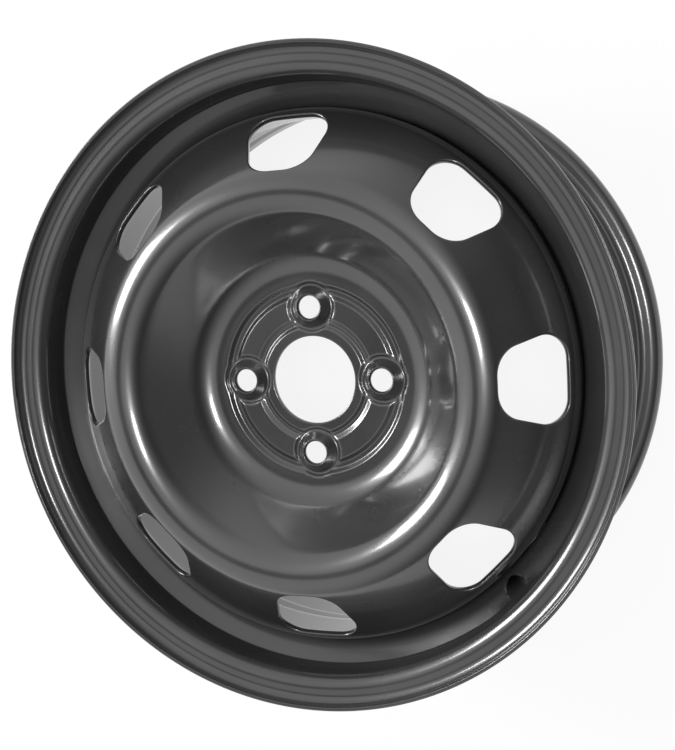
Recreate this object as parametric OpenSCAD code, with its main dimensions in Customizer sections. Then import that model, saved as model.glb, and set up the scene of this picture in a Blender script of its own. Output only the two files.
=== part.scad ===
// Pressed-steel road wheel: a rolled rim with a drop-centre well, a drawn disc with a raised
// crown, vent windows and conical bolt seats, and the weld beads that join the two.
// The origin is the centre of the hub face. The axis is Z, and the outer side faces up.

/* [Rim] */
// Diameter at which the bead seat meets the flange
bead_seat_d = 405.6; // [395:0.1:415]
// Width between the two flange faces
rim_w = 165.1; // [155:0.1:178]
// Height of the flange crest above the bead seat
flange_h = 17.5; // [16.5:0.1:19]
// Thickness of the rim's sheet
rim_t = 2.5; // [2.2:0.1:3]
// Distance of the hub face from the rim's middle plane
wheel_offset = 49; // [45:1:53]
// Radius of the flange's curl, on the tyre side
lip_bend = 8.8; // [8:0.1:9.4]
// Angle that the curl turns past its crest
lip_turn = 6; // [2:1:30]
// Straight length at the end of the curl
lip_tail = 0.4; // [0.2:0.1:3]
// Radius of the heel between the flange and the bead seat
heel_bend = 6.5; // [5.5:0.1:7]
// Taper of the bead seats in degrees
seat_taper = 5; // [4:0.5:6]
// Distance of the hump's foot from the flange face
hump_foot_pos = 16.5; // [14:0.5:18]
// Height of the safety hump above the bead seat
hump_h = 1.6; // [1:0.1:2]
// Radius of the bends at the hump
hump_bend = 4.2; // [3.6:0.1:5]
// Axial length of the ramp from the inboard ledge up to its hump
hump_ramp = 6.5; // [5:0.5:9]
// Depth of the well below the bead seat
well_depth = 17.5; // [16:0.1:18.5]
// Distance of the well's outer corner from the outboard flange face
well_pos = 37.2; // [34:0.1:39]
// Width of the well's floor
well_w = 40; // [38:0.5:46]
// Angle of the well's outboard leg to the axis
well_leg = 53.6; // [48:0.2:58]
// Angle of the well's inboard leg to the axis
well_back_leg = 32; // [26:1:38]
// Radius of the bends at the well's floor
well_bend = 8; // [6:0.5:9]
// Depth of the inboard ledge below the bead seat
ledge_depth = 5.5; // [4.5:0.1:7]
// Rise of the inboard ledge in degrees
ledge_rise = 3; // [1:0.5:4]
// Radius of the bend where the inboard leg meets the ledge
ledge_bend = 14; // [8:1:18]

/* [Valve hole] */
// Diameter of the valve hole
valve_d = 11.3; // [10:0.1:13]
// Angle of the valve hole round the wheel
valve_angle = 135; // [0:1:359]
// Radius of the flat that is pressed round the valve hole
valve_flat_r = 16; // [14:0.5:18]
// Distance of the valve hole above the middle of the well's leg
valve_rise = 1.5; // [0:0.1:2.5]
// Width of the chamfer on the valve hole's visible edge
valve_edge = 1; // [0.4:0.1:1.4]
// Height by which the flat stands off the sheet round it
valve_step = 0.1; // [0.05:0.05:0.2]

/* [Disc] */
// Thickness of the disc's sheet
disc_t = 3.8; // [3.4:0.1:4.4]
// Clearance between the disc's skirt and the well
seat_clear = 0.1; // [0.05:0.05:0.3]
// Distance of the skirt's edge from the hub face, towards the inboard side
skirt_drop = 25; // [20:0.5:28]
// Radius of the bend between the flank and the skirt
skirt_bend = 14; // [8:0.5:16]
// Height of the crown above the hub face
crown_h = 53.2; // [49:0.2:56]
// Radius at which the crown is highest
crown_pos = 127; // [124:0.5:129]
// Bend radius of the crown
crown_bend = 20; // [16:0.5:23]
// Slope of the bowl's wall, inside the crown
bowl_slope = 53; // [51:0.5:55]
// Slope of the flank, outside the crown
flank_slope = 41; // [39:0.5:43]
// Bend radius at the foot of the bowl
bowl_bend = 22; // [14:0.5:22]
// Height of the bowl's floor above the hub face
bowl_floor = 6.3; // [5.6:0.1:7]

/* [Hub] */
// Diameter of the centre bore
bore_d = 60.1; // [54:0.1:62]
// Height of the collar's face above the hub face
collar_h = 5.4; // [5:0.1:6.2]
// Radius of the collar's outer edge
collar_r = 36.5; // [35:0.1:37]
// Inner radius of the inner groove's floor
groove_in_r0 = 38.8; // [38:0.1:39.2]
// Outer radius of the inner groove's floor
groove_in_r1 = 40.8; // [40:0.1:41.5]
// Inner radius of the raised pads
pad_r0 = 44; // [43:0.1:46]
// Outer radius of the raised pads
pad_r1 = 57; // [55:0.1:57.5]
// Height of the raised pads above the hub face
pad_h = 5.7; // [5:0.1:6.4]
// Inner radius of the outer groove's floor
groove_out_r0 = 59.8; // [59:0.1:60.5]
// Outer radius of the outer groove's floor
groove_out_r1 = 63.2; // [62:0.1:63.6]
// Radius at which the bowl's floor begins
bowl_r0 = 66; // [65:0.1:66.5]
// Bend radius of the hub's small steps
hub_bend = 2; // [1:0.1:2.5]

/* [Bolt seats] */
// Number of bolt holes
bolt_count = 4; // [3:1:5]
// Diameter of the bolt circle
bolt_pcd = 100; // [98:0.1:102]
// Diameter of the bolt holes
bolt_d = 15.4; // [14.6:0.1:15.8]
// Height of the seat's rim above the hub face
boss_h = 9.8; // [9:0.1:10.4]
// Radius of the seat's rim
boss_r0 = 8.9; // [8.6:0.1:9.4]
// Radius at the foot of the boss
boss_r1 = 14.6; // [13.5:0.1:14.8]
// Radius of the floor that is pressed round each boss
boss_floor_r = 15.8; // [15.2:0.1:16]
// Width by which the floor runs under the sheet round it
boss_lap = 2; // [1:0.1:2.4]
// Slope of the wall round that floor, in degrees
boss_wall_slope = 55; // [45:1:70]
// Straight length of the bolt holes
bolt_land = 1.2; // [1.2:0.1:2]
// Setback of the hollow behind each boss from the boss's foot
hollow_inset = 0.6; // [0.4:0.1:0.8]
// Included angle of the conical bolt seat
seat_angle = 60; // [60:5:90]

/* [Windows] */
// Number of vent windows
window_count = 8; // [4:1:8]
// Angle of the first window round the wheel
window_angle = 0.8; // [0:0.1:44]
// Radius of the window's inner edge
window_r0 = 139.5; // [138:0.5:146]
// Radius of the window's outer edge
window_r1 = 177; // [172:0.5:178]
// Width across the window's inner corners
window_w0 = 38; // [34:0.5:50]
// Width across the window's outer corners
window_w1 = 65; // [54:0.5:70]
// Radius of the window's inner corners
window_bend0 = 19; // [8:0.5:20]
// Radius of the window's outer corners
window_bend1 = 15; // [8:0.5:16]

/* [Welds] */
// Number of weld beads, set between the windows
weld_count = 8; // [4:1:8]
// Angle that each bead spans
weld_span = 24; // [12:1:34]
// Leg of the weld beads
weld_leg = 3.8; // [2.5:0.1:4]

/* [Hidden] */

// Enamelled black steel
coat = [0.10, 0.10, 0.11];
bead_coat = [0.13, 0.13, 0.14];

// Sides of a full turn, and the angle between the points of a bend
round_sides = 180;
bend_step = 12;
// Least radius that a bend keeps on its tight side, and least turn that is rounded
tight_bend = 0.6;
least_turn = 0.5;
// Length by which a cutting shape runs past what it cuts
over = 1;

flange_z = rim_w / 2;
bead_r = bead_seat_d / 2;
crest_r = bead_r + flange_h;
well_r = bead_r - well_depth;
well_inner_r = well_r - rim_t;
skirt_r = well_inner_r - seat_clear;

// Vector helpers in the (radius, height) plane
function unit(a, b) = (b - a) / norm(b - a);
function right(v) = [v[1], -v[0]];
function polar(r, a) = [r * cos(a), r * sin(a)];
function turned(v, a) = [v[0] * cos(a) - v[1] * sin(a), v[0] * sin(a) + v[1] * cos(a)];
function reversed(list) = [for (i = [len(list) - 1 : -1 : 0]) list[i]];

// Directions in which a path reaches and leaves its point i
function dir_in(path, i) = i > 0 ? unit(path[i - 1], path[i]) : unit(path[0], path[1]);
function dir_out(path, i) = i < len(path) - 1 ? unit(path[i], path[i + 1]) : dir_in(path, i);

// The path moved sideways by d, to the right of the way it runs
function beside(path, d) = [
    for (i = [0 : len(path) - 1])
        let (m = right(dir_in(path, i)) + right(dir_out(path, i)))
        path[i] + m * (2 * d / (m * m))
];

// Angle that a path turns at its point i, and the side it turns to
function turn_at(path, i) = acos(min(1, dir_in(path, i) * dir_out(path, i)));
function side_at(path, i) = cross(dir_in(path, i), dir_out(path, i)) > 0 ? 1 : -1;

// Corner i of a path, rounded to radius r
function bend(path, i, r) =
    let (
        u = dir_in(path, i),
        side = side_at(path, i),
        turn = turn_at(path, i),
        start = path[i] - u * r * tan(turn / 2),
        centre = start - right(u) * r * side,
        n = max(1, ceil(turn / bend_step))
    )
    turn < least_turn
        ? [path[i]]
        : [for (k = [0 : n]) centre + turned(start - centre, side * turn * k / n)];

// Radii of the bends on a face that lies d to the right of the path
function radii_beside(path, radii, d) = [
    for (i = [0 : len(path) - 1])
        max(tight_bend, radii[i] + side_at(path, i) * d)
];

// Length of wall that the bend at point i takes up on each side
function bend_run(path, radii, i) = radii[i] * tan(turn_at(path, i) / 2);

// Share of the wall before point i that the bends at its two ends may take up
function wall_share(path, radii, i) =
    norm(path[i] - path[i - 1])
    / (bend_run(path, radii, i - 1) + bend_run(path, radii, i) + tight_bend);

// Share that the bend at point i may take up of both its walls
function bend_share(path, radii, i) =
    min(1, wall_share(path, radii, i), wall_share(path, radii, i + 1));

// One face of a sheet, d to the right of the path, with each bend limited by its walls
function face(path, radii, d) =
    let (
        line = beside(path, d),
        bends = radii_beside(path, radii, d),
        last = len(path) - 1
    )
    [
        line[0],
        for (i = [1 : last - 1])
            each bend(line, i, bends[i] * bend_share(line, bends, i)),
        line[last]
    ];

// Closed section of a sheet of thickness t, to the right of its path
function sheet(path, radii, t) = concat(face(path, radii, 0), reversed(face(path, radii, t)));

// Path mirrored in the rim's middle plane, run the other way
function mirrored(path) = reversed([for (p = path) [p[0], -p[1]]]);

// Rim: tyre side of the section, from the outboard curl to the inboard one
lip_centre = [crest_r - lip_bend, flange_z + lip_bend];
lip_half = (lip_turn + 90) / 2;
lip_path = [
    lip_centre + polar(lip_bend, lip_turn) + polar(lip_tail, lip_turn + 90),
    lip_centre + polar(lip_bend / cos(lip_half), lip_turn - lip_half),
    [bead_r, flange_z]
];
lip_radii = [0, lip_bend, heel_bend];

// Radius of the bead seat at a distance s from the flange face
function seat_r(s) = bead_r - s * tan(seat_taper);

// Corner of the well's floor and the line of its outboard leg
well_corner = [well_r, flange_z - well_pos];
function leg_point(r) = well_corner + [r - well_r, (r - well_r) / tan(well_leg)];

hump_foot = [seat_r(hump_foot_pos), flange_z - hump_foot_pos];
hump_pos = flange_z - leg_point(seat_r(hump_foot_pos))[1];
function hump_top(h) = leg_point(seat_r(hump_pos) + h);

ledge_r = bead_r - ledge_depth;
well_back_z = well_corner[1] - well_w;
ledge_z = well_back_z - (ledge_r - well_r) / tan(well_back_leg);
ramp_z = hump_pos - flange_z + hump_ramp;

rim_path = concat(
    lip_path,
    [
        hump_foot,
        hump_top(hump_h),
        well_corner,
        [well_r, well_back_z],
        [ledge_r, ledge_z],
        [ledge_r + (ledge_z - ramp_z) * tan(ledge_rise), ramp_z],
        [seat_r(hump_pos) + hump_h, hump_pos - flange_z],
        [hump_foot[0], -hump_foot[1]]
    ],
    mirrored(lip_path)
);
rim_radii = concat(
    lip_radii,
    [hump_bend, hump_bend, well_bend, well_bend, ledge_bend, hump_bend, hump_bend, hump_bend],
    reversed(lip_radii)
);

// Valve hole: it sits in the middle of the well's outboard leg, square to it
leg_dir = unit(well_corner, hump_top(hump_h));
valve_seat = (hump_top(hump_h) + well_corner) / 2 + leg_dir * valve_rise;
valve_reach = 12;

module along_valve() {
    rotate([0, 0, valve_angle])
        translate([valve_seat[0], 0, valve_seat[1]])
            rotate([0, well_leg - 90, 0])
                children();
}

// Flat: round the valve hole the sheet runs from the leg to the bead seat with no hump
flat_path = [[bead_r, flange_z], hump_foot, hump_top(0), well_corner, [well_r, well_back_z]];
flat_radii = [0, hump_bend, hump_bend, well_bend, 0];

// A round patch of that sheet, between the depths d0 and d1 from its tyre side
module valve_flat(d0, d1) {
    intersection() {
        rotate_extrude($fn = round_sides)
            polygon(concat(face(flat_path, flat_radii, d0), reversed(face(flat_path, flat_radii, d1))));
        along_valve()
            cylinder(h = 2 * valve_reach, r = valve_flat_r, center = true, $fn = round_sides);
    }
}

// Bore of the valve hole, with a chamfer on the outboard face of the flat
module valve_cut() {
    cylinder(h = 2 * valve_reach, d = valve_d, center = true, $fn = round_sides);
    translate([0, 0, rim_t + valve_step - valve_edge])
        cylinder(h = 2 * valve_edge, d1 = valve_d, d2 = valve_d + 4 * valve_edge, $fn = round_sides);
}

module rim() {
    color(coat)
        translate([0, 0, -wheel_offset])
            difference() {
                union() {
                    difference() {
                        rotate_extrude($fn = round_sides)
                            polygon(sheet(rim_path, rim_radii, rim_t));
                        valve_flat(-hump_h - over, -valve_step);
                    }
                    valve_flat(valve_step, rim_t + valve_step);
                }
                along_valve()
                    valve_cut();
            }
}

// Disc: outer side of the section, from the bore to the edge of the skirt
crown_half = (bowl_slope + flank_slope) / 2;
crown_centre = [crown_pos, crown_h - crown_bend];
crown_top = crown_centre + polar(crown_bend / cos(crown_half), 90 + crown_half - flank_slope);
bowl_foot = [crown_top[0] - (crown_top[1] - bowl_floor) / tan(bowl_slope), bowl_floor];
function flank_z(r) = crown_top[1] - (r - crown_top[0]) * tan(flank_slope);

hub_path = [
    [bore_d / 2, collar_h],
    [collar_r, collar_h],
    [groove_in_r0, disc_t],
    [groove_in_r1, disc_t],
    [pad_r0, pad_h],
    [pad_r1, pad_h],
    [groove_out_r0, disc_t],
    [groove_out_r1, disc_t],
    [bowl_r0, bowl_floor]
];
disc_path = concat(
    hub_path,
    [bowl_foot, crown_top, [skirt_r, flank_z(skirt_r)], [skirt_r, -skirt_drop]]
);
disc_radii = concat(
    [for (p = hub_path) hub_bend],
    [bowl_bend, crown_bend, skirt_bend, 0]
);

// Bolt seat: a cone raised on a pressed floor, hollow behind, with a conical seat on its rim
boss_rise = (boss_h - disc_t) / (boss_r1 - boss_r0);
bolt_r = bolt_d / 2;
seat_depth = (boss_r0 - bolt_r) / tan(seat_angle / 2);
hollow_h = boss_h - seat_depth - bolt_land;
hollow_r1 = boss_r1 - hollow_inset;
hollow_r0 = hollow_r1 - hollow_h / boss_rise;

module at_bolts() {
    for (i = [0 : bolt_count - 1])
        rotate([0, 0, i * 360 / bolt_count])
            translate([bolt_pcd / 2, 0, 0])
                children();
}

module boss_clearing() {
    clear_h = boss_h + over;
    clear_run = clear_h / tan(boss_wall_slope);
    translate([0, 0, -over])
        cylinder(h = disc_t + over, r = boss_floor_r, $fn = round_sides);
    translate([0, 0, disc_t])
        cylinder(h = clear_h, r1 = boss_floor_r, r2 = boss_floor_r + clear_run, $fn = round_sides);
}

module boss() {
    difference() {
        union() {
            cylinder(h = disc_t, r = boss_floor_r + boss_lap, $fn = round_sides);
            translate([0, 0, disc_t])
                cylinder(h = boss_h - disc_t, r1 = boss_r1, r2 = boss_r0, $fn = round_sides);
        }
        translate([0, 0, -over])
            cylinder(h = boss_h + 2 * over, r = bolt_r, $fn = round_sides);
        translate([0, 0, boss_h - seat_depth])
            cylinder(h = seat_depth, r1 = bolt_r, r2 = boss_r0, $fn = round_sides);
        cylinder(h = hollow_h, r1 = hollow_r1, r2 = hollow_r0, $fn = round_sides);
    }
}

// Window: a rounded trapezium in the plane of the flank, pierced square to the sheet
window_mid = (window_r0 + window_r1) / 2;
window_len = (window_r1 - window_r0) / cos(flank_slope);
window_outline = [
    [-window_len / 2, 0],
    [-window_len / 2, -window_w0 / 2],
    [window_len / 2, -window_w1 / 2],
    [window_len / 2, window_w1 / 2],
    [-window_len / 2, window_w0 / 2],
    [-window_len / 2, 0]
];
window_radii = [0, window_bend0, window_bend1, window_bend1, window_bend0, 0];
window_reach = 12;

module windows() {
    for (i = [0 : window_count - 1])
        rotate([0, 0, window_angle + i * 360 / window_count])
            translate([window_mid, 0, flank_z(window_mid)])
                rotate([0, flank_slope, 0])
                    linear_extrude(2 * window_reach, center = true)
                        polygon(face(window_outline, window_radii, 0));
}

module disc() {
    color(coat)
        union() {
            difference() {
                rotate_extrude($fn = round_sides)
                    polygon(sheet(disc_path, disc_radii, disc_t));
                at_bolts()
                    boss_clearing();
                windows();
            }
            at_bolts()
                boss();
        }
}

// Weld beads: quarter-round fillets between the skirt's edge and the well
module weld_section() {
    intersection() {
        translate([well_inner_r, -skirt_drop])
            circle(r = weld_leg, $fn = round_sides);
        translate([well_inner_r - 2 * weld_leg, -skirt_drop - 2 * weld_leg])
            square(2 * weld_leg);
    }
}

module weld_beads() {
    color(bead_coat)
        for (i = [0 : weld_count - 1])
            rotate([0, 0, window_angle + (i + 0.5) * 360 / weld_count - weld_span / 2])
                rotate_extrude(angle = weld_span, $fn = round_sides)
                    weld_section();
}

rim();
disc();
weld_beads();
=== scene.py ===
import math
from bisect import bisect

import bmesh
import bpy
from mathutils import Matrix, Vector
from mathutils.geometry import intersect_point_line


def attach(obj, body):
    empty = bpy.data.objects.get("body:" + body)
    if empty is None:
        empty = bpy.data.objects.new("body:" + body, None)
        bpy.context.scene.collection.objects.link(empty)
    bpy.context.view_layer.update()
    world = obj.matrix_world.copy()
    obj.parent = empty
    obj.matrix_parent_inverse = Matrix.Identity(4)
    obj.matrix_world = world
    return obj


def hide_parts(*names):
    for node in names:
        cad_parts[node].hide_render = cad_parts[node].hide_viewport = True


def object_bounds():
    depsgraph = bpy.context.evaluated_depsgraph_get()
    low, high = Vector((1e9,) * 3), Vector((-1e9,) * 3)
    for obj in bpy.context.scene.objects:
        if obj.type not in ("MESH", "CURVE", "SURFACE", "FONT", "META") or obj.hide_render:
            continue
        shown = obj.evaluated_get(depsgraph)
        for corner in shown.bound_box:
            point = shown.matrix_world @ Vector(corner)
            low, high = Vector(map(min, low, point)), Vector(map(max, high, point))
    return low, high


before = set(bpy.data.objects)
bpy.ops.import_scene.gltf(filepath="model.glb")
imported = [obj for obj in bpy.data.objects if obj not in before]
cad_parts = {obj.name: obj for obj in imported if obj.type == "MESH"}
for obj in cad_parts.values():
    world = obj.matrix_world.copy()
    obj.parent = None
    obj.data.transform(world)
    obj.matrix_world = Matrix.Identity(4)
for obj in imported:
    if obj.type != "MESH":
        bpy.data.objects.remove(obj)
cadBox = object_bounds()
mm = 0.001  # sizes below are in mm, meshes in metres
print("frame loaded:", ", ".join(sorted(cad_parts)))

# how finely the sheets are drawn
sheetWork = {
    "turns": 240,  # grid lines round the wheel
    "bendStep": math.radians(6),  # angle between the points of a bend
    "tightBend": 0.6,  # least radius on the tight side of a bend
    "patchGap": 0.5,  # room between a punched patch and the grid round it
    "edgeSteps": 3,  # segments of a rounded edge
    "leastTurn": math.radians(0.5),  # a corner that turns less stays sharp
    "leastStep": 1e-6,  # a path that gains less radius than this runs upright
}
# marks of the open edges of a blank: its two rims, then its holes
innerEdge = 1
outerEdge = 2
firstHole = 3


# paths are (radius, height) points, and a sheet lies to the right of its path
def polar(radius, angle):
    return Vector((radius * math.cos(angle), radius * math.sin(angle)))


def rightOf(way):
    return Vector((way.y, -way.x))


def waysAt(path, i):
    last = len(path) - 1
    before = path[max(i, 1)] - path[max(i, 1) - 1]
    after = path[min(i, last - 1) + 1] - path[min(i, last - 1)]
    return before.normalized(), after.normalized()


def turnAt(path, i):
    before, after = waysAt(path, i)
    return math.atan2(before.x * after.y - before.y * after.x, before.dot(after))


def shifted(path, depth):
    moved = []
    for i, point in enumerate(path):
        before, after = waysAt(path, i)
        across = rightOf(before) + rightOf(after)
        moved.append(point + across * (2 * depth / across.length_squared))
    return moved


def bend(line, i, radius):
    turn = turnAt(line, i)
    before = waysAt(line, i)[0]
    start = line[i] - before * (radius * math.tan(abs(turn) / 2))
    centre = start - rightOf(before) * math.copysign(radius, turn)
    steps = max(1, math.ceil(abs(turn) / sheetWork["bendStep"]))
    arm = start - centre
    return [centre + Matrix.Rotation(turn * k / steps, 2) @ arm for k in range(steps + 1)]


# one face of a bent sheet, each bend limited by its walls
def bentFace(path, radii, depth, spacing):
    line = shifted(path, depth)
    last = len(line) - 1
    tight = sheetWork["tightBend"]
    turns = [turnAt(line, i) for i in range(last + 1)]
    bends = [max(tight, r + math.copysign(depth, t)) for r, t in zip(radii, turns)]
    runs = [b * math.tan(abs(t) / 2) for b, t in zip(bends, turns)]

    def share(i):
        return (line[i] - line[i - 1]).length / (runs[i - 1] + runs[i] + tight)

    corners = [line[0]]
    for i in range(1, last):
        if abs(turns[i]) < sheetWork["leastTurn"]:
            corners.append(line[i])
        else:
            corners += bend(line, i, bends[i] * min(1, share(i), share(i + 1)))
    corners.append(line[last])
    points = corners[:1]
    for a, b in zip(corners, corners[1:]):
        steps = max(1, math.ceil((b - a).length / spacing(a.x)))
        points += [a.lerp(b, k / steps) for k in range(1, steps + 1)]
    lengths = [points[0].x]
    for a, b in zip(points, points[1:]):
        lengths.append(lengths[-1] + (b - a).length)
    return {"points": points, "lengths": lengths}


def pointAt(face, length):
    lengths, points = face["lengths"], face["points"]
    k = min(max(bisect(lengths, length) - 1, 0), len(points) - 2)
    return points[k].lerp(points[k + 1], (length - lengths[k]) / (lengths[k + 1] - lengths[k]))


def lengthNear(face, target):
    found = []
    for k, (a, b) in enumerate(zip(face["points"], face["points"][1:])):
        share = min(max(intersect_point_line(target, a, b)[1], 0), 1)
        found.append(((a.lerp(b, share) - target).length, face["lengths"][k] + share * (b - a).length))
    return min(found)[1]


# a sheet starts as a flat round blank, is punched, and is then pressed to its face
def flatBlank(face):
    bm = bmesh.new()
    openEdge = bm.verts.layers.int.new("openEdge")
    row = [bm.verts.new((length, 0, 0)) for length in face["lengths"]]
    edges = [bm.edges.new(pair) for pair in zip(row, row[1:])]
    bmesh.ops.spin(
        bm, geom=row + edges, cent=(0, 0, 0), axis=(0, 0, 1), angle=2 * math.pi,
        steps=sheetWork["turns"], use_merge=True, use_normal_flip=False,
    )
    for edge in bm.edges:
        if edge.is_boundary:
            outer = edge.verts[0].co.length > (face["lengths"][0] + face["lengths"][-1]) / 2
            for vert in edge.verts:
                vert[openEdge] = outerEdge if outer else innerEdge
    return bm


# loops run from the hole's edge outwards, each with as many points as the others
def punch(bm, loops, number):
    openEdge = bm.verts.layers.int["openEdge"]
    centre = sum(loops[-1], Vector((0, 0))) / len(loops[-1])
    arms = sorted((math.atan2(*(p - centre).yx), (p - centre).length) for p in loops[-1])
    angles = [angle for angle, reach in arms]
    widest = max(reach for angle, reach in arms) + sheetWork["patchGap"]

    def inside(vert):
        arm = vert.co.xy - centre
        if arm.length > widest:
            return False
        k = bisect(angles, math.atan2(arm.y, arm.x)) % len(arms)
        return arm.length < max(arms[k - 1][1], arms[k][1]) + sheetWork["patchGap"]

    within = {vert for vert in bm.verts if inside(vert)}
    doomed = [face for face in bm.faces if not within.isdisjoint(face.verts)]
    bmesh.ops.delete(bm, geom=doomed, context="FACES")
    ragged = [e for e in bm.edges if e.is_boundary and not e.verts[0][openEdge]]
    rings = []
    for loop in loops:
        verts = [bm.verts.new((p.x, p.y, 0)) for p in loop]
        rings.append([bm.edges.new((verts[k - 1], verts[k])) for k in range(len(verts))])
        for vert in verts if loop is loops[0] else ():
            vert[openEdge] = number
    for inner, outer in zip(rings, rings[1:]):
        bmesh.ops.bridge_loops(bm, edges=inner + outer)
    bmesh.ops.triangle_fill(bm, edges=ragged + rings[-1], use_beauty=True, normal=(0, 0, 1))


def press(bm, place):
    for vert in bm.verts:
        vert.co = place(vert.co.xy.length, math.atan2(vert.co.y, vert.co.x))


# joins the two faces of a sheet at every open edge and rounds those edges
def closedSheet(sides, rounding):
    bm = bmesh.new()
    mesh = bpy.data.meshes.new("side")
    for side in sides:
        side.to_mesh(mesh)
        bm.from_mesh(mesh)
        side.free()
    bpy.data.meshes.remove(mesh)
    openEdge = bm.verts.layers.int["openEdge"]
    rims = {}
    for edge in bm.edges:
        if edge.is_boundary:
            rims.setdefault(edge.verts[0][openEdge], []).append(edge)
    for edges in rims.values():
        bmesh.ops.bridge_loops(bm, edges=edges)
    bmesh.ops.recalc_face_normals(bm, faces=bm.faces)
    for number, edges in rims.items():
        bmesh.ops.bevel(
            bm, geom=edges, offset=rounding(number), offset_type="OFFSET", affect="EDGES",
            segments=sheetWork["edgeSteps"], profile=0.5, clamp_overlap=True, material=-1,
        )
    bm.verts.layers.int.remove(bm.verts.layers.int["openEdge"])
    return bm


def finishPiece(name, bm, material, node):
    bmesh.ops.recalc_face_normals(bm, faces=bm.faces)
    bmesh.ops.scale(bm, vec=(mm, mm, mm), verts=bm.verts)
    for face in bm.faces:
        face.smooth = True
    loose = sum(not edge.is_manifold for edge in bm.edges)
    mesh = bpy.data.meshes.new(name)
    bm.to_mesh(mesh)
    bm.free()
    piece = bpy.data.objects.new(name, mesh)
    bpy.context.scene.collection.objects.link(piece)
    mesh.materials.append(material)
    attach(piece, "root")
    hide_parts(node)
    triangles = sum(len(p.vertices) - 2 for p in mesh.polygons)
    print(f"{name}: {triangles} triangles, {loose} open edges")


def smoothMin(a, b, blend):
    overlap = max(blend - abs(a - b), 0) / blend
    return min(a, b) - overlap * overlap * blend / 4


def smoothMax(a, b, blend):
    return -smoothMin(-a, -b, blend)


def smoothStep(low, high, value):
    t = min(max((value - low) / (high - low), 0), 1)
    return t * t * (3 - 2 * t)


# nodes of a material or the world, set by socket name
def addNode(tree, kind, inputs=None, **settings):
    node = tree.nodes.new(kind)
    for key, value in settings.items():
        setattr(node, key, value)
    for key, value in (inputs or {}).items():
        if isinstance(value, bpy.types.NodeSocket):
            tree.links.new(value, node.inputs[key])
        else:
            node.inputs[key].default_value = value
    return node


def ramp(tree, value, ends, levels, kind):
    sockets = {
        "Value": value,
        "From Min": ends[0],
        "From Max": ends[1],
        "To Min": levels[0],
        "To Max": levels[1],
    }
    return addNode(tree, "ShaderNodeMapRange", sockets, interpolation_type=kind).outputs["Result"]


# black dip coat: faint cloudiness, orange peel, and fine rings left by rolling or drawing
def dipCoat(name, look):
    material = bpy.data.materials.new(name)
    material.use_nodes = True
    tree = material.node_tree
    shader = tree.nodes["Principled BSDF"]
    where = addNode(tree, "ShaderNodeTexCoord").outputs["Object"]

    def noise(place, part):
        sockets = {"Vector": place, "Scale": look[part + "Scale"], "Detail": look[part + "Detail"]}
        return addNode(tree, "ShaderNodeTexNoise", sockets).outputs["Fac"]

    cloud = noise(where, "cloud")
    tint = addNode(tree, "ShaderNodeValToRGB", {"Fac": cloud})
    tint.color_ramp.elements[0].position = look["cloudEnds"][0]
    tint.color_ramp.elements[1].position = look["cloudEnds"][1]
    tint.color_ramp.elements[0].color = (*look["dark"], 1)
    tint.color_ramp.elements[1].color = (*look["light"], 1)
    sheen = ramp(tree, cloud, look["cloudEnds"], look["roughness"], "LINEAR")
    axes = addNode(tree, "ShaderNodeSeparateXYZ", {"Vector": where}).outputs
    flat = addNode(tree, "ShaderNodeCombineXYZ", {"X": axes["X"], "Y": axes["Y"]}).outputs["Vector"]
    radius = addNode(tree, "ShaderNodeVectorMath", {0: flat}, operation="LENGTH").outputs["Value"]
    ringPlace = addNode(tree, "ShaderNodeCombineXYZ", {"X": radius, "Y": axes["Z"]}).outputs["Vector"]
    ringBump = addNode(
        tree, "ShaderNodeBump",
        {"Height": noise(ringPlace, "ring"), "Strength": look["ringBump"], "Distance": look["bumpDepth"]},
    )
    peelBump = addNode(
        tree, "ShaderNodeBump",
        {"Height": noise(where, "peel"), "Strength": look["peelBump"], "Distance": look["bumpDepth"],
         "Normal": ringBump.outputs["Normal"]},
    )
    tree.links.new(tint.outputs["Color"], shader.inputs["Base Color"])
    tree.links.new(sheen, shader.inputs["Roughness"])
    tree.links.new(peelBump.outputs["Normal"], shader.inputs["Normal"])
    shader.inputs["Specular IOR Level"].default_value = look["specular"]
    shader.inputs["Coat Weight"].default_value = look["coat"]
    shader.inputs["Coat Roughness"].default_value = look["coatRoughness"]
    return material


coatLook = {
    "dark": (0.015, 0.015, 0.0155),
    "light": (0.021, 0.021, 0.0215),
    "roughness": (0.24, 0.30),
    "specular": 1.0,
    "coat": 1.0,
    "coatRoughness": 0.10,
    "cloudScale": 14.0,
    "cloudDetail": 5.0,
    "cloudEnds": (0.3, 0.7),  # noise levels of the dark and the light colour
    "peelScale": 700.0,
    "peelDetail": 2.0,
    "peelBump": 0.012,
    "ringScale": 260.0,
    "ringDetail": 3.0,
    "ringBump": 0.012,
    "bumpDepth": 0.0004,
}
# the rim's coat is duller and a little paler than the disc's
rimLook = {
    **coatLook,
    "dark": (0.030, 0.030, 0.0305),
    "light": (0.038, 0.038, 0.0385),
    "roughness": (0.22, 0.28),
    "specular": 0.75,
    "coat": 0.6,
    "coatRoughness": 0.08,
}
# the welds are rougher under their coat
weldLook = {**coatLook, "peelScale": 420.0, "peelBump": 0.2}
rimCoat = dipCoat("rimDipCoat", rimLook)
discCoat = dipCoat("discDipCoat", coatLook)
weldCoat = dipCoat("weldDipCoat", weldLook)
print("dip coats mixed")

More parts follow.
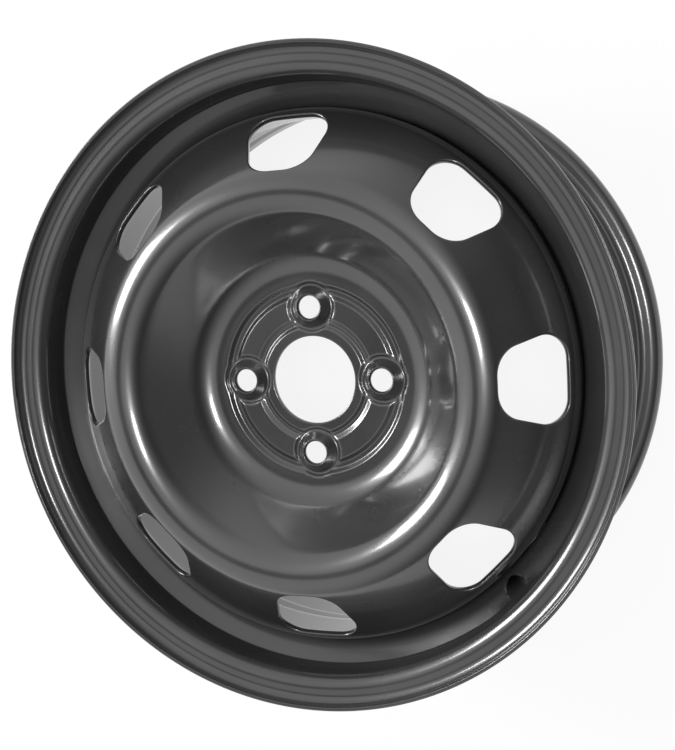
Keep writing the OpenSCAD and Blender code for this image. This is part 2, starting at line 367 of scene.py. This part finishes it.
# rolled rim: bead seats, humps, drop-centre well and curled flanges
rim = {
    "beadR": 202.8,
    "halfWidth": 82.55,
    "flangeHeight": 17.5,
    "sheet": 2.5,
    "offset": 49.0,
    "lipBend": 8.8,
    "lipTurn": math.radians(6),
    "lipTail": 0.4,
    "heelBend": 6.5,
    "seatTaper": math.radians(5),
    "humpFoot": 16.5,
    "humpHeight": 1.6,
    "humpBend": 4.2,
    "humpRamp": 6.5,
    "wellDepth": 17.5,
    "wellFrom": 37.2,
    "wellWidth": 40.0,
    "wellLeg": math.radians(53.6),
    "wellBackLeg": math.radians(32),
    "wellBend": 8.0,
    "ledgeDepth": 5.5,
    "ledgeRise": math.radians(3),
    "ledgeBend": 14.0,
    "lipRounding": 0.9,
    "spacing": 6.0,
}
rim["wellR"] = rim["beadR"] - rim["wellDepth"]
rim["wellCorner"] = Vector((rim["wellR"], rim["halfWidth"] - rim["wellFrom"]))


def legPoint(radius):
    rise = (radius - rim["wellR"]) / math.tan(rim["wellLeg"])
    return Vector((radius, rim["wellCorner"].y + rise))


def seatR(distance):
    return rim["beadR"] - distance * math.tan(rim["seatTaper"])


rim["humpPos"] = rim["halfWidth"] - legPoint(seatR(rim["humpFoot"])).y


def humpTop(height):
    return legPoint(seatR(rim["humpPos"]) + height)


# the tyre side of the section, from the outboard curl to the inboard one
def rimPath(humpHeight):
    half = rim["halfWidth"]
    lipCentre = Vector((rim["beadR"] + rim["flangeHeight"] - rim["lipBend"], half + rim["lipBend"]))
    lipEnd = lipCentre + polar(rim["lipBend"], rim["lipTurn"])
    lipHalf = (rim["lipTurn"] + math.pi / 2) / 2
    lip = [
        lipEnd + polar(rim["lipTail"], rim["lipTurn"] + math.pi / 2),
        lipCentre + polar(rim["lipBend"] / math.cos(lipHalf), rim["lipTurn"] - lipHalf),
        Vector((rim["beadR"], half)),
    ]
    foot = Vector((seatR(rim["humpFoot"]), half - rim["humpFoot"]))
    ledgeR = rim["beadR"] - rim["ledgeDepth"]
    wellBack = rim["wellCorner"].y - rim["wellWidth"]
    ledgeZ = wellBack - (ledgeR - rim["wellR"]) / math.tan(rim["wellBackLeg"])
    rampZ = rim["humpPos"] - half + rim["humpRamp"]
    middle = [
        foot,
        humpTop(humpHeight),
        rim["wellCorner"],
        Vector((rim["wellR"], wellBack)),
        Vector((ledgeR, ledgeZ)),
        Vector((ledgeR + (ledgeZ - rampZ) * math.tan(rim["ledgeRise"]), rampZ)),
        Vector((seatR(rim["humpPos"]) + rim["humpHeight"], rim["humpPos"] - half)),
        Vector((foot.x, -foot.y)),
    ]
    path = lip + middle + [Vector((p.x, -p.y)) for p in reversed(lip)]
    hump = rim["humpBend"]
    lipRadii = [0, rim["lipBend"], rim["heelBend"]]
    wellRadii = [rim["wellBend"], rim["wellBend"], rim["ledgeBend"]]
    radii = lipRadii + [hump, hump] + wellRadii + [hump, hump, hump] + lipRadii[::-1]
    return [p - Vector((0, rim["offset"])) for p in path], radii


valve = {
    "angle": math.radians(135),
    "rise": 1.5,
    "rings": (5.65, 6.9, 8.2, 9.6),  # radii of the loops from the hole's edge outwards
    "points": 56,
    "flatFrom": 13.5,  # inside this distance the hump is pressed flat
    "flatTo": 20.0,
    "seatEnd": 10.0,  # from the flange, still clear of the hump
    "legFoot": 5.0,  # above the well, still clear of the hump
    "edge": 0.9,
}


def rimSide(depth):
    spacing = lambda radius: rim["spacing"]
    humped = bentFace(*rimPath(rim["humpHeight"]), depth, spacing)
    plain = bentFace(*rimPath(0), depth, spacing)
    leg = (humpTop(rim["humpHeight"]) - rim["wellCorner"]).normalized()
    seat = (humpTop(rim["humpHeight"]) + rim["wellCorner"]) / 2 + leg * valve["rise"]
    seat = seat - Vector((0, rim["offset"])) + rightOf(-leg) * depth
    # stretch of the face where the humped and plain sections differ
    seatEnd = Vector((seatR(valve["seatEnd"]) - depth, rim["halfWidth"] - valve["seatEnd"] - rim["offset"]))
    legFoot = legPoint(rim["wellR"] + valve["legFoot"]) - Vector((0, rim["offset"])) + rightOf(-leg) * depth
    span = [(lengthNear(humped, p), lengthNear(plain, p)) for p in (seatEnd, legFoot)]
    valveLength = lengthNear(humped, seat)

    def plainLength(length):
        (h0, p0), (h1, p1) = span
        if length <= h0:
            return length
        if length >= h1:
            return length + p1 - h1
        return p0 + (length - h0) * (p1 - p0) / (h1 - h0)

    def place(length, angle):
        point = pointAt(humped, length)
        along = ((angle - valve["angle"] + math.pi) % (2 * math.pi) - math.pi) * point.x
        away = math.hypot(length - valveLength, along)
        if away < valve["flatTo"]:
            pressed = 1 - smoothStep(valve["flatFrom"], valve["flatTo"], away)
            point = point.lerp(pointAt(plain, plainLength(length)), pressed)
        return point.x * math.cos(angle), point.x * math.sin(angle), point.y

    def ringPoint(reach, turn):
        length = valveLength + reach * math.cos(turn)
        return polar(length, valve["angle"] + reach * math.sin(turn) / pointAt(humped, length).x)

    steps = [2 * math.pi * k / valve["points"] for k in range(valve["points"])]
    bm = flatBlank(humped)
    punch(bm, [[ringPoint(reach, turn) for turn in steps] for reach in valve["rings"]], firstHole)
    press(bm, place)
    return bm


rimSheet = closedSheet(
    [rimSide(0), rimSide(rim["sheet"])],
    lambda number: valve["edge"] if number == firstHole else rim["lipRounding"],
)
finishPiece("rolledRim", rimSheet, rimCoat, "rim")

# pressed disc: grooved hub, bolt seats, bowl, crown, flank with windows, skirt
disc = {
    "sheet": 3.8,
    "boreR": 30.05,
    "collar": (36.5, 5.4),
    "grooveIn": (38.8, 40.8),
    "pad": (44.0, 57.0, 5.7),
    "grooveOut": (59.8, 63.2),
    "bowlFloor": (66.0, 6.3),
    "hubBend": 2.0,
    "crownR": 127.0,
    "crownTop": 53.2,
    "crownBend": 20.0,
    "bowlSlope": math.radians(53),
    "flankSlope": math.radians(41),
    "bowlBend": 22.0,
    "skirtR": 182.7,
    "skirtDrop": 25.0,
    "skirtBend": 14.0,
    "hubEnd": 72.0,
    "hubSpacing": 1.4,
    "spacing": 4.5,
    "edge": 0.8,
}
crownHalf = (disc["bowlSlope"] + disc["flankSlope"]) / 2
crownPeak = Vector((disc["crownR"], disc["crownTop"] - disc["crownBend"])) + polar(
    disc["crownBend"] / math.cos(crownHalf), math.pi / 2 + crownHalf - disc["flankSlope"]
)


def flankHeight(radius):
    return crownPeak.y - (radius - crownPeak.x) * math.tan(disc["flankSlope"])


def discPath():
    floor = disc["sheet"]
    padIn, padOut, padTop = disc["pad"]
    bowlFloor = disc["bowlFloor"][1]
    bowlFoot = crownPeak.x - (crownPeak.y - bowlFloor) / math.tan(disc["bowlSlope"])
    hub = [
        (disc["boreR"], disc["collar"][1]),
        disc["collar"],
        (disc["grooveIn"][0], floor),
        (disc["grooveIn"][1], floor),
        (padIn, padTop),
        (padOut, padTop),
        (disc["grooveOut"][0], floor),
        (disc["grooveOut"][1], floor),
        disc["bowlFloor"],
    ]
    outer = [
        (bowlFoot, bowlFloor),
        tuple(crownPeak),
        (disc["skirtR"], flankHeight(disc["skirtR"])),
        (disc["skirtR"], -disc["skirtDrop"]),
    ]
    radii = [disc["hubBend"]] * len(hub) + [disc["bowlBend"], disc["crownBend"], disc["skirtBend"], 0]
    return [Vector(p) for p in hub + outer], radii


bolts = {
    "count": 4,
    "circleR": 50.0,
    "holeR": 7.7,
    "top": 9.8,
    "rimR": 8.9,
    "footR": 14.6,
    "floorR": 15.8,
    "lap": 2.0,
    "wallSlope": math.radians(55),
    "land": 1.2,
    "seatSlope": math.radians(60),
    "hollowInset": 0.6,
    "rings": (
        7.7, 8.0, 8.3, 8.6, 8.9, 9.2, 9.6, 10.2, 11.0,
        12.0, 13.0, 13.9, 14.6, 15.2, 15.8, 16.5, 17.2, 18.0,
    ),
    "points": 72,
    "rimBlend": 1.0,
    "footBlend": 0.9,
    "edge": 0.35,
}
bolts["rise"] = (bolts["top"] - disc["sheet"]) / (bolts["footR"] - bolts["rimR"])
bolts["seatDrop"] = (bolts["rimR"] - bolts["holeR"]) * math.tan(bolts["seatSlope"])
bolts["hollowH"] = bolts["top"] - bolts["seatDrop"] - bolts["land"]
boltCentres = [polar(bolts["circleR"], 2 * math.pi * k / bolts["count"]) for k in range(bolts["count"])]


def frontAtBolt(reach, height):
    seat = bolts["top"] - (bolts["rimR"] - reach) * math.tan(bolts["seatSlope"])
    cone = bolts["top"] - (reach - bolts["rimR"]) * bolts["rise"]
    peak = smoothMin(seat, cone, bolts["rimBlend"])
    wall = disc["sheet"] + (reach - bolts["floorR"]) * math.tan(bolts["wallSlope"])
    floor = smoothMax(disc["sheet"], wall, bolts["footBlend"])
    return smoothMax(peak, smoothMin(height, floor, bolts["footBlend"]), bolts["footBlend"])


def backAtBolt(reach, height):
    cone = (bolts["footR"] - bolts["hollowInset"] - reach) * bolts["rise"]
    hollow = smoothMin(bolts["hollowH"], cone, bolts["footBlend"])
    wall = (reach - bolts["floorR"] - bolts["lap"] / 2) * math.tan(bolts["wallSlope"])
    around = smoothMin(height, wall, bolts["footBlend"]) if wall > 0 else min(height, 0)
    return max(hollow, around) if reach > bolts["footR"] else smoothMax(hollow, 0, bolts["footBlend"])


windows = {
    "count": 8,
    "angle": math.radians(0.8),
    "innerR": 139.5,
    "outerR": 177.0,
    "innerWidth": 38.0,
    "outerWidth": 65.0,
    "innerBend": 19.0,
    "outerBend": 15.0,
    "rings": (0.0, 1.6, 3.0, 4.2),
    "backRings": (0.0, 1.4, 2.4),
    "points": 112,
    "aimSteps": 6,  # rounds of the search for the flank
    "edge": 0.9,
}
windows["midR"] = (windows["innerR"] + windows["outerR"]) / 2


# evenly spaced points of the outline with their outward normals, in the plane of the flank
def windowOutline():
    half = (windows["outerR"] - windows["innerR"]) / 2 / math.cos(disc["flankSlope"])
    inner, outer = windows["innerWidth"] / 2, windows["outerWidth"] / 2
    corners = [(-half, 0), (-half, -inner), (half, -outer), (half, outer), (-half, inner), (-half, 0)]
    bends = [0, windows["innerBend"], windows["outerBend"], windows["outerBend"], windows["innerBend"], 0]
    outline = bentFace([Vector(c) for c in corners], bends, 0, lambda radius: half)
    first, last = outline["lengths"][0], outline["lengths"][-1]
    step = (last - first) / windows["points"]
    points = [pointAt(outline, first + step * (k + 0.5)) for k in range(windows["points"])]
    ways = [points[(k + 1) % len(points)] - points[k - 1] for k in range(len(points))]
    return [(point, rightOf(way.normalized())) for point, way in zip(points, ways)]


# where a line square to the window's plane meets the flank, as radius and angle
def ontoFlank(spot, depth):
    slope = disc["flankSlope"]
    middle = Vector((windows["midR"], flankHeight(windows["midR"])))
    start = middle + polar(spot.x, -slope)
    drop = depth / math.cos(slope)
    reach = 0
    for _ in range(windows["aimSteps"]):
        x = start.x + reach * math.sin(slope)
        miss = flankHeight(math.hypot(x, spot.y)) - drop - start.y - reach * math.cos(slope)
        reach += miss * math.cos(slope)
    return math.hypot(x, spot.y), math.atan2(spot.y, x)


def discSide(depth, atBolt, windowRings):
    spacing = lambda radius: disc["hubSpacing"] if radius < disc["hubEnd"] else disc["spacing"]
    face = bentFace(*discPath(), depth, spacing)
    radii = [p.x for p in face["points"]]
    gains = [b - a for a, b in zip(radii, radii[1:])]
    climb = next(k for k, gain in enumerate(gains) if gain < sheetWork["leastStep"])

    def flatPoint(radius, angle):
        k = min(max(bisect(radii, radius, 0, climb) - 1, 0), climb - 1)
        share = (radius - radii[k]) / (radii[k + 1] - radii[k])
        length = face["lengths"][k] + share * (face["lengths"][k + 1] - face["lengths"][k])
        return polar(length, angle)

    def place(length, angle):
        point = pointAt(face, length)
        spot = polar(point.x, angle)
        height = point.y
        if point.x < disc["hubEnd"]:
            reach = min((spot - centre).length for centre in boltCentres)
            height = atBolt(reach, height)
        return spot.x, spot.y, height

    bm = flatBlank(face)
    steps = [2 * math.pi * k / bolts["points"] for k in range(bolts["points"])]
    for i, centre in enumerate(boltCentres):
        loops = []
        for reach in bolts["rings"]:
            spots = [centre + polar(reach, step) for step in steps]
            loops.append([flatPoint(spot.length, math.atan2(spot.y, spot.x)) for spot in spots])
        punch(bm, loops, firstHole + i)
    outline = windowOutline()
    for i in range(windows["count"]):
        turn = windows["angle"] + 2 * math.pi * i / windows["count"]
        loops = []
        for grow in windowRings:
            spots = [ontoFlank(point + out * grow, depth) for point, out in outline]
            loops.append([flatPoint(radius, angle + turn) for radius, angle in spots])
        punch(bm, loops, firstHole + bolts["count"] + i)
    press(bm, place)
    return bm


def discRounding(number):
    if number < firstHole:
        return disc["edge"]
    return bolts["edge"] if number < firstHole + bolts["count"] else windows["edge"]


discSheet = closedSheet(
    [
        discSide(0, frontAtBolt, windows["rings"]),
        discSide(disc["sheet"], backAtBolt, windows["backRings"]),
    ],
    discRounding,
)
finishPiece("pressedDisc", discSheet, discCoat, "disc")

# fillet welds between the skirt's edge and the well
welds = {
    "count": 8,
    "span": math.radians(24),
    "leg": 3.8,
    "steps": 96,
    "arcSteps": 7,
    "ripple": 0.09,  # share of the leg lost between two ripples
    "pitch": math.radians(1.0),
    "taper": math.radians(1.2),
    "endShare": 0.55,  # share of the leg left at the ends of a bead
    "merge": 1e-5,
}


def weldBeads():
    bm = bmesh.new()
    root = Vector((rim["wellR"] - rim["sheet"], -disc["skirtDrop"]))
    corner = Vector((root.x, 0, root.y))
    for i in range(welds["count"]):
        middle = windows["angle"] + 2 * math.pi * (i + 0.5) / welds["count"]
        turns = [math.pi + math.pi / 2 * k / welds["arcSteps"] for k in range(welds["arcSteps"] + 1)]
        arc = [polar(welds["leg"], turn) for turn in turns]
        verts = [bm.verts.new(corner)] + [bm.verts.new(corner + Vector((p.x, 0, p.y))) for p in arc]
        cap = bm.faces.new(verts)
        bmesh.ops.rotate(bm, verts=verts, matrix=Matrix.Rotation(middle - welds["span"] / 2, 3, "Z"))
        bmesh.ops.spin(
            bm, geom=[cap], cent=(0, 0, 0), axis=(0, 0, 1), angle=welds["span"],
            steps=welds["steps"], use_merge=False, use_normal_flip=False,
        )
    sector = 2 * math.pi / welds["count"]
    endShare = welds["endShare"]
    for vert in bm.verts:
        angle = math.atan2(vert.co.y, vert.co.x) - windows["angle"]
        along = angle % sector - sector / 2
        ripple = abs(math.sin(math.pi * along / welds["pitch"]))
        end = min((welds["span"] / 2 - abs(along)) / welds["taper"], 1)
        tip = endShare + (1 - endShare) * math.sqrt(max(end, 0))
        scale = (1 - welds["ripple"] * (1 - ripple)) * tip
        radius = vert.co.xy.length
        shrunk = root.x + (radius - root.x) * scale
        vert.co.x *= shrunk / radius
        vert.co.y *= shrunk / radius
        vert.co.z = root.y + (vert.co.z - root.y) * scale
    bmesh.ops.remove_doubles(bm, verts=bm.verts, dist=welds["merge"])
    return bm


finishPiece("filletWelds", weldBeads(), weldCoat, "weld_beads")

# stage: a floor that is pale to the camera and to reflections, in a room with one bright side
stage = {
    "floorSize": 30.0,
    "floorColor": (0.86, 0.86, 0.86, 1.0),
    "floorRoughness": 0.9,
    "floorShare": 0.88,  # share of plain white that the camera and reflections see in the floor
    "brightSide": (0.72, -0.20, 0.66),  # the room is bright on this side and dim on the other
    "turn": (-0.28, 0.60),  # cosines to that side between which the room turns bright
    "room": (0.08, 0.85),  # strength on the dim and on the bright side
    "horizon": (0.16, 0.28),  # heights between which the pale band round the room ends
    "band": 0.9,
    "dimSpot": (0.34, 0.11, 0.93),  # the ceiling is dim round this direction
    "spotTurn": (0.972, 0.996),  # cosines to it between which the ceiling turns dim
    "spotLevel": 0.06,
}


def seenRays(tree):
    path = addNode(tree, "ShaderNodeLightPath").outputs
    seen = path["Is Camera Ray"]
    for kind in ("Is Glossy Ray", "Is Transmission Ray"):
        seen = addNode(tree, "ShaderNodeMath", {0: seen, 1: path[kind]}, operation="MAXIMUM").outputs[0]
    return seen


def paleFloor():
    material = bpy.data.materials.new("paleFloor")
    material.use_nodes = True
    tree = material.node_tree
    diffuse = tree.nodes["Principled BSDF"]
    diffuse.inputs["Base Color"].default_value = stage["floorColor"]
    diffuse.inputs["Roughness"].default_value = stage["floorRoughness"]
    white = addNode(tree, "ShaderNodeEmission", {"Color": (1, 1, 1, 1), "Strength": 1.0})
    seen = seenRays(tree)
    share = addNode(tree, "ShaderNodeMath", {0: seen, 1: stage["floorShare"]}, operation="MULTIPLY")
    mix = addNode(
        tree, "ShaderNodeMixShader",
        {0: share.outputs[0], 1: diffuse.outputs[0], 2: white.outputs[0]},
    )
    tree.links.new(mix.outputs[0], tree.nodes["Material Output"].inputs["Surface"])
    bm = bmesh.new()
    bmesh.ops.create_grid(bm, x_segments=1, y_segments=1, size=stage["floorSize"] / 2)
    bmesh.ops.translate(bm, vec=(0, 0, cadBox[0].z), verts=bm.verts)
    mesh = bpy.data.meshes.new("paleFloor")
    bm.to_mesh(mesh)
    bm.free()
    mesh.materials.append(material)
    floor = bpy.data.objects.new("paleFloor", mesh)
    bpy.context.scene.collection.objects.link(floor)


def paleWorld():
    world = bpy.data.worlds.new("paleWorld")
    world.use_nodes = True
    bpy.context.scene.world = world
    tree = world.node_tree
    glow = tree.nodes["Background"]
    glow.inputs["Color"].default_value = (1, 1, 1, 1)
    way = addNode(tree, "ShaderNodeTexCoord").outputs["Generated"]
    side = Vector(stage["brightSide"]).normalized()
    facing = addNode(tree, "ShaderNodeVectorMath", {0: way, 1: side}, operation="DOT_PRODUCT")
    room = ramp(tree, facing.outputs["Value"], stage["turn"], stage["room"], "SMOOTHSTEP")
    spot = Vector(stage["dimSpot"]).normalized()
    above = addNode(tree, "ShaderNodeVectorMath", {0: way, 1: spot}, operation="DOT_PRODUCT")
    dim = ramp(tree, above.outputs["Value"], stage["spotTurn"], (1.0, stage["spotLevel"]), "SMOOTHSTEP")
    room = addNode(tree, "ShaderNodeMath", {0: room, 1: dim}, operation="MULTIPLY").outputs[0]
    height = addNode(tree, "ShaderNodeSeparateXYZ", {"Vector": way}).outputs["Z"]
    band = ramp(tree, height, stage["horizon"], (stage["band"], 0.0), "SMOOTHSTEP")
    level = addNode(tree, "ShaderNodeMath", {0: room, 1: band}, operation="MAXIMUM")
    tree.links.new(level.outputs[0], glow.inputs["Strength"])


# soft boxes: place, aim, size and power of each
lamps = {
    "left": {"place": (1.66, -0.46, 1.02), "aim": (0, 0, 0), "size": (0.6, 0.9), "power": 30.0},
    "front": {"place": (-0.55, -0.17, 1.92), "aim": (0, 0, 0), "size": (0.35, 0.35), "power": 13.0},
}


def softBox(name, look):
    lamp = bpy.data.lights.new(name, "AREA")
    lamp.shape = "RECTANGLE"
    lamp.size, lamp.size_y = look["size"]
    lamp.energy = look["power"]
    box = bpy.data.objects.new(name, lamp)
    bpy.context.scene.collection.objects.link(box)
    box.location = look["place"]
    box.rotation_euler = (Vector(look["aim"]) - Vector(look["place"])).to_track_quat("-Z", "Y").to_euler()


# camera at the photograph's viewing angle, for an image of 675 x 750
view = {
    "place": (-0.28943, -0.08106, 0.68204),
    "right": (-0.94188, 0.04042, -0.33351),
    "up": (0.0, -0.99273, -0.12033),
    "sensor": 36.0,
    "lens": 51.70,
    "shift": (-0.0533, 0.0083),
}


def photoCamera():
    data = bpy.data.cameras.new("photoCamera")
    data.lens = view["lens"]
    data.sensor_width = view["sensor"]
    data.shift_x, data.shift_y = view["shift"]
    camera = bpy.data.objects.new("photoCamera", data)
    bpy.context.scene.collection.objects.link(camera)
    right, up = Vector(view["right"]).normalized(), Vector(view["up"]).normalized()
    turn = Matrix((right, up, right.cross(up))).transposed()
    camera.matrix_world = Matrix.Translation(view["place"]) @ turn.to_4x4()
    bpy.context.scene.camera = camera


paleFloor()
paleWorld()
for lampName, lampLook in lamps.items():
    softBox(lampName, lampLook)
photoCamera()
bpy.context.scene.view_settings.view_transform = "Standard"
print("stage lit")
